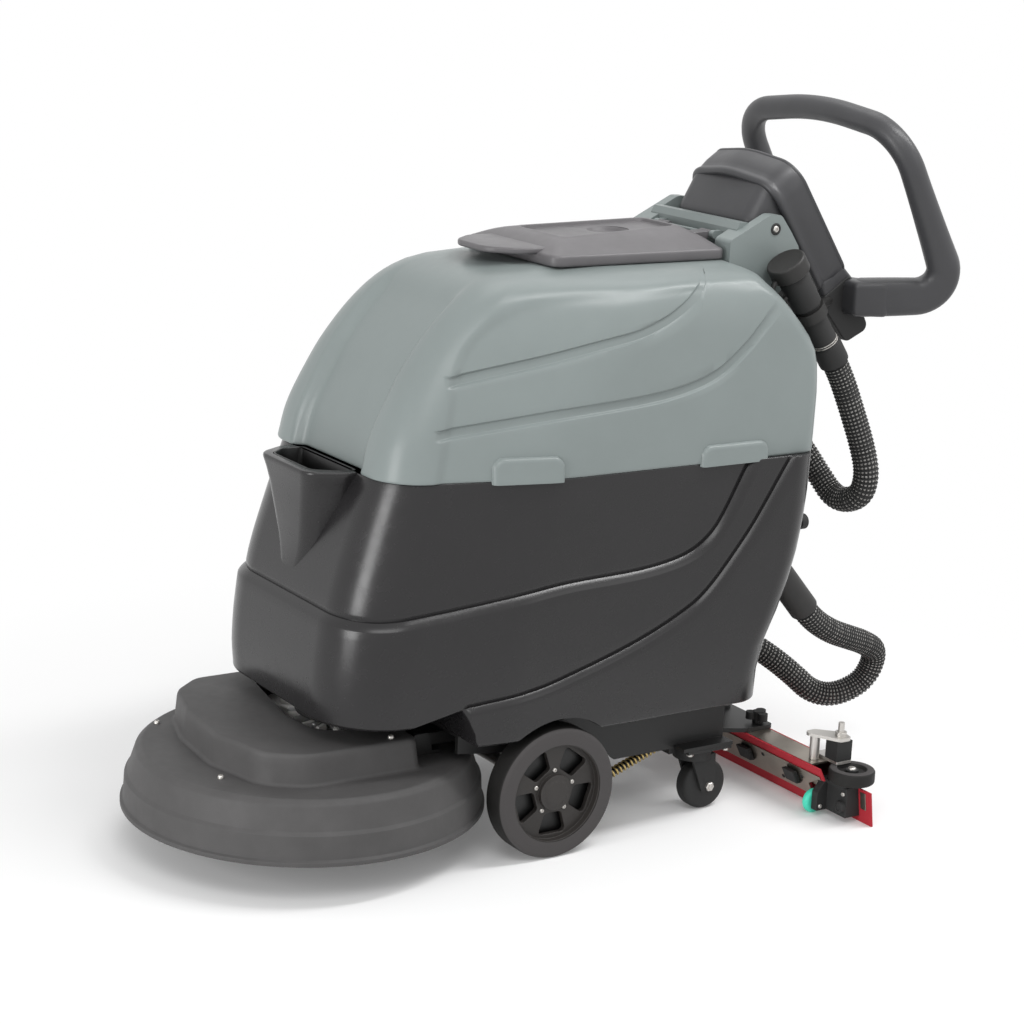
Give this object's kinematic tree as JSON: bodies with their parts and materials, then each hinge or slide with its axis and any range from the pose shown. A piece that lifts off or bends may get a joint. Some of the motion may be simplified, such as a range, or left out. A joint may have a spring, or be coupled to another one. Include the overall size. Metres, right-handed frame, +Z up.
{
  "type": "walk-behind floor scrubber",
  "caption": "Walk-behind floor scrubber: grey recovery tank on a dark solution tank, round brush deck, loop handle, red squeegee with suction hose.",
  "frame": {"origin": "on the floor under the middle of the machine", "axes": "+X forward to the brush deck, +Y to the machine's left, +Z up"},
  "size_m": [1.3014, 0.722, 1.0842],
  "materials": {
    "dark_tank": "semi-gloss dark grey moulding",
    "grey_tank": "satin sage grey moulding",
    "lid_grey": "matt dark grey",
    "deck_grey": "matt dark grey, fine grain",
    "handle_grey": "satin dark grey",
    "black_plastic": "black satin",
    "hub_black": "black satin",
    "tyre_rubber": "dark rubber",
    "seal_rubber": "soft black",
    "red_rubber": "red, smooth",
    "turquoise": "turquoise",
    "black_steel": "black powder coat",
    "bright_steel": "bright",
    "stainless": "brushed",
    "cast_alloy": "as cast",
    "spring_steel": "yellow zinc",
    "hose_black": "ribbed, black with grey helix",
    "bristle": "dark nylon",
    "battery_case": "black case",
    "motor_case": "black",
    "button_face": "grey button"
  },
  "bodies": {
    "machine": {"chassis_frame": "black_steel", "drive_axle": "bright_steel", "caster_plates": "bright_steel", "lift_spring": "spring_steel", "solution_tank": "dark_tank", "suction_cuff": "black_plastic", "filler_cup": "black_plastic", "battery_tray": "black_plastic", "batteries": "battery_case", "vacuum_motor": "motor_case", "recovery_tank": "grey_tank", "float_cage": "black_plastic", "yoke": "grey_tank", "console_hood": "handle_grey", "control_panel": "black_plastic", "wiring_box": "black_plastic", "handle": "handle_grey", "drain_pipe": "black_plastic", "hose_clip": "black_plastic", "drain_hose": "hose_black", "suction_hose": "hose_black"},
    "left_wheel": {"left_hub": "hub_black", "left_tyre": "tyre_rubber"},
    "right_wheel": {"right_hub": "hub_black", "right_tyre": "tyre_rubber"},
    "left_caster": {"left_caster_fork": "black_steel"},
    "left_caster_roll": {"left_caster_wheel": "tyre_rubber"},
    "right_caster": {"right_caster_fork": "black_steel"},
    "right_caster_roll": {"right_caster_wheel": "tyre_rubber"},
    "lift": {"lift_arms": "black_steel"},
    "deck": {"deck_cover": "deck_grey", "gear_housing": "cast_alloy", "brush_motor": "motor_case", "deck_hangers": "black_steel"},
    "brush": {"brush_hub": "black_plastic", "brush_block": "black_plastic", "bristles": "bristle"},
    "tank_lid": {"lid": "lid_grey", "lid_seal": "seal_rubber"},
    "drain_plug": {"drain_cap": "black_plastic"},
    "drain_valve": {"drain_valve_knob": "black_plastic"},
    "key": {"key_switch": "bright_steel"},
    "brush_switch": {"brush_button": "button_face"},
    "vacuum_switch": {"vacuum_button": "button_face"},
    "water_switch": {"water_button": "button_face"},
    "squeegee": {"squeegee_bracket": "black_steel", "squeegee_body": "stainless", "front_blade": "red_rubber", "rear_blade": "red_rubber", "blade_straps": "stainless", "strap_clamps": "black_plastic", "roller_brackets": "bright_steel", "adjuster_blocks": "black_plastic", "support_brackets": "black_plastic"},
    "left_bumper": {"left_roller": "black_plastic"},
    "right_bumper": {"right_roller": "black_plastic"},
    "left_support": {"left_support_wheel": "turquoise"},
    "right_support": {"right_support_wheel": "turquoise"},
    "left_clamp_knob": {"left_knob": "black_plastic"},
    "right_clamp_knob": {"right_knob": "black_plastic"}
  },
  "joints": [
    {"name": "left_wheel_spin", "type": "hinge", "parent": "machine", "child": "left_wheel", "pos_m": [0.099, 0.2205, 0.1], "axis": [0, 1, 0], "continuous": true},
    {"name": "left_caster_swivel", "type": "hinge", "parent": "machine", "child": "left_caster", "pos_m": [-0.202, 0.167, 0.1], "axis": [0, 0, 1], "continuous": true},
    {"name": "left_caster_spin", "type": "hinge", "parent": "left_caster", "child": "left_caster_roll", "pos_m": [-0.222, 0.167, 0.04], "axis": [0, 1, 0], "continuous": true},
    {"name": "right_wheel_spin", "type": "hinge", "parent": "machine", "child": "right_wheel", "pos_m": [0.099, -0.2205, 0.1], "axis": [0, 1, 0], "continuous": true},
    {"name": "right_caster_swivel", "type": "hinge", "parent": "machine", "child": "right_caster", "pos_m": [-0.202, -0.167, 0.1], "axis": [0, 0, 1], "continuous": true},
    {"name": "right_caster_spin", "type": "hinge", "parent": "right_caster", "child": "right_caster_roll", "pos_m": [-0.222, -0.167, 0.04], "axis": [0, 1, 0], "continuous": true},
    {"name": "deck_lift", "type": "hinge", "parent": "machine", "child": "lift", "pos_m": [-0.02, 0, 0.165], "axis": [0, 1, 0], "range_deg": [0, 10.8], "deforming": ["lift_spring"]},
    {"name": "deck_level", "type": "hinge", "parent": "lift", "child": "deck", "pos_m": [0.268, 0, 0.17], "axis": [0, 1, 0], "range_deg": [-11, 0]},
    {"name": "brush_spin", "type": "hinge", "parent": "deck", "child": "brush", "pos_m": [0.38967, 0, 0.1], "axis": [0, 0, 1], "continuous": true},
    {"name": "lid_hinge", "type": "hinge", "parent": "machine", "child": "tank_lid", "pos_m": [-0.254, 0, 0.884], "axis": [0, -1, 0], "range_deg": [0, 85]},
    {"name": "drain_cap_pull", "type": "slide", "parent": "machine", "child": "drain_plug", "axis": [0.5706, 0, 0.8212], "range_m": [0, 0.04]},
    {"name": "drain_valve_turn", "type": "hinge", "parent": "machine", "child": "drain_valve", "pos_m": [-0.36, 0.205, 0.456], "axis": [-1, 0, 0], "range_deg": [0, 90]},
    {"name": "key_turn", "type": "hinge", "parent": "machine", "child": "key", "pos_m": [-0.45332, 0, 0.85606], "axis": [-0.8271, 0, 0.5621], "range_deg": [0, 60]},
    {"name": "brush_button_press", "type": "slide", "parent": "machine", "child": "brush_switch", "axis": [0.8271, 0, -0.5621], "range_m": [0, 0.003], "stiffness_N_per_m": 600, "springref_m": -0.002},
    {"name": "vacuum_button_press", "type": "slide", "parent": "machine", "child": "vacuum_switch", "axis": [0.8271, 0, -0.5621], "range_m": [0, 0.003], "stiffness_N_per_m": 600, "springref_m": -0.002},
    {"name": "water_button_press", "type": "slide", "parent": "machine", "child": "water_switch", "axis": [0.8271, 0, -0.5621], "range_m": [0, 0.003], "stiffness_N_per_m": 600, "springref_m": -0.002},
    {"name": "squeegee_lift", "type": "hinge", "parent": "machine", "child": "squeegee", "pos_m": [-0.284, 0, 0.097], "axis": [0, 1, 0], "range_deg": [0, 16], "deforming": ["suction_hose"]},
    {"name": "left_bumper_spin", "type": "hinge", "parent": "squeegee", "child": "left_bumper", "pos_m": [-0.4, 0.317, 0.072], "axis": [0, 0, 1], "continuous": true},
    {"name": "left_support_spin", "type": "hinge", "parent": "squeegee", "child": "left_support", "pos_m": [-0.368, 0.268, 0.0195], "axis": [0, 1, 0], "continuous": true},
    {"name": "left_knob_turn", "type": "hinge", "parent": "squeegee", "child": "left_clamp_knob", "pos_m": [-0.385, 0.1, 0.1], "axis": [0, 0, 1], "continuous": true},
    {"name": "right_bumper_spin", "type": "hinge", "parent": "squeegee", "child": "right_bumper", "pos_m": [-0.4, -0.317, 0.072], "axis": [0, 0, 1], "continuous": true},
    {"name": "right_support_spin", "type": "hinge", "parent": "squeegee", "child": "right_support", "pos_m": [-0.368, -0.268, 0.0195], "axis": [0, 1, 0], "continuous": true},
    {"name": "right_knob_turn", "type": "hinge", "parent": "squeegee", "child": "right_clamp_knob", "pos_m": [-0.385, -0.1, 0.1], "axis": [0, 0, 1], "continuous": true}
  ],
  "couplings": [
    {"joint": "deck_level", "follows": "deck_lift", "ratio": -1}
  ]
}
